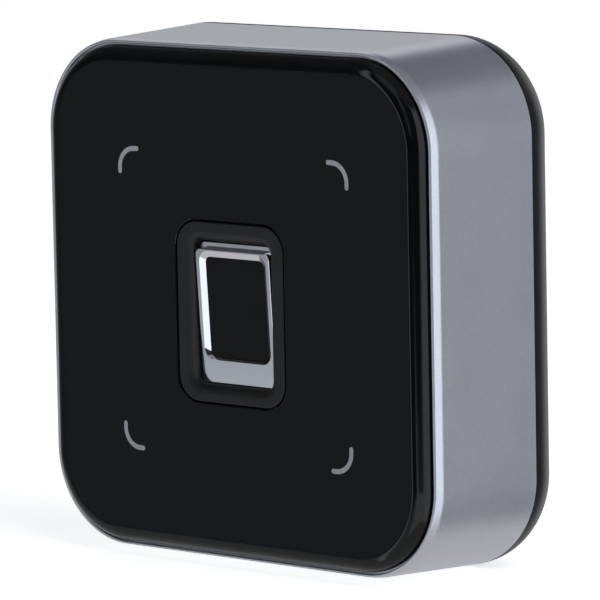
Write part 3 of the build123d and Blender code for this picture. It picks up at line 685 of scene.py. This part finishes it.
def studio():
    """White to the camera; to the object, a tent with softboxes and dark cards."""
    world = bpy.data.worlds.new("studio")
    bpy.context.scene.world = world
    g = Graph(world)
    direction = g.vector("NORMALIZE", g.add("ShaderNodeTexCoord").outputs["Generated"])
    height = g.add("ShaderNodeSeparateXYZ", Vector=direction).outputs["Z"]
    tent = g.blend(g.span(height, 0.25, 0.75), (0.58, 0.61, 0.66), (0.24, 0.25, 0.28))
    tent = g.blend(g.span(height, -0.6, -0.15, 1.0, 0.0), tent, (0.60, 0.60, 0.61))
    # azimuth, elevation, half width, half height, softness (degrees), colour; last one on top
    cards = (
        (146, -4, 28, 34, 10, (0.12, 0.125, 0.145)),     # shade behind, to the right
        (-142, 2, 27, 20, 10, (0.52, 0.53, 0.54)),       # grey behind, to the left
        (180, 0, 16, 30, 12, (1.0, 1.01, 1.04)),         # light straight behind
        (-172, 44, 24, 14, 8, (0.10, 0.105, 0.13)),      # shade above it
        (92, 0, 32, 42, 10, (1.55, 1.6, 1.72)),          # large light on the right
        (-80, 46, 34, 22, 8, (0.10, 0.105, 0.115)),      # shade high on the left
        (-133, 30, 14, 8, 5, (1.0, 1.02, 1.06)),         # small light high behind, to the left
        (-62, 6.75, 33, 19.25, 5, (0.18, 0.20, 0.215)),  # dim field on the left
        (-52, 13, 24, 13, 8, (0.06, 0.065, 0.07)),       # darker patch in it
        (12, 17, 44, 28, 6, (0.03, 0.03, 0.035)),        # black card in front
        (10, 20, 8, 14, 6, (0.50, 0.52, 0.56)),          # narrow light in it
        (-4, 45, 14, 14, 8, (0.60, 0.62, 0.66)),         # light above it
        (32, -25, 30, 14.5, 5, (1.25, 1.3, 1.4)),        # low light in front
        (-34, 0, 3.0, 45, 4, (1.6, 1.7, 1.85)),          # thin upright light, front left
    )
    for spec in cards:
        tent = card(g, direction, tent, *spec)
    seen = g.add("ShaderNodeBackground", Color=rgba((1, 1, 1)), Strength=1.0)
    felt = g.add("ShaderNodeBackground", Color=tent, Strength=1.0)
    camera = g.add("ShaderNodeLightPath").outputs["Is Camera Ray"]
    mix = g.add("ShaderNodeMixShader", Fac=camera, i1=felt.outputs[0], i2=seen.outputs[0])
    g.add("ShaderNodeOutputWorld", Surface=mix.outputs[0])


def softbox(name, azimuth, elevation, distance, size, power):
    """Square area lamp aimed at the middle of the case."""
    data = bpy.data.lights.new(name, "AREA")
    data.size, data.energy = size, power
    lamp = bpy.data.objects.new(name, data)
    bpy.context.scene.collection.objects.link(lamp)
    back = toward(azimuth, elevation)
    lamp.location = back * distance
    lamp.rotation_euler = back.to_track_quat("Z", "Y").to_euler()
    lamp.visible_camera = False
    lamp.visible_glossy = False


def camera():
    """Long-lens view from the right of the front, slightly above and a little rolled."""
    back = toward(42.05, 7.294)
    roll = math.radians(-1.108)
    target = Vector((14.11, -34.2, 2.40)) * MM
    distance = 936.9 * MM
    data = bpy.data.cameras.new("camera")
    data.sensor_width = 36.0
    data.lens = 326.4
    data.shift_x, data.shift_y = 0.0032, -0.0054
    data.clip_start, data.clip_end = 0.05, 30.0
    eye = bpy.data.objects.new("camera", data)
    bpy.context.scene.collection.objects.link(eye)
    eye.location = target + back * distance
    turn = back.to_track_quat("Z", "Y").to_matrix().to_4x4() @ Matrix.Rotation(roll, 4, "Z")
    eye.rotation_euler = turn.to_euler()
    bpy.context.scene.camera = eye


# ---- build --------------------------------------------------------------------------------
materials = dress_nodes()
panel_lens(materials["front_panel"], panel_edge())
seal_bead(materials["housing_seal"])
gasket_ring(materials["housing_seal"])
foam_layer(materials["panel_tape"])
ribbon_cable(materials["sensor_cable"])
floor()
studio()
softbox("key_light", azimuth=75, elevation=50, distance=1.2, size=0.7, power=4.0)
camera()
bpy.context.scene.view_settings.view_transform = "Standard"
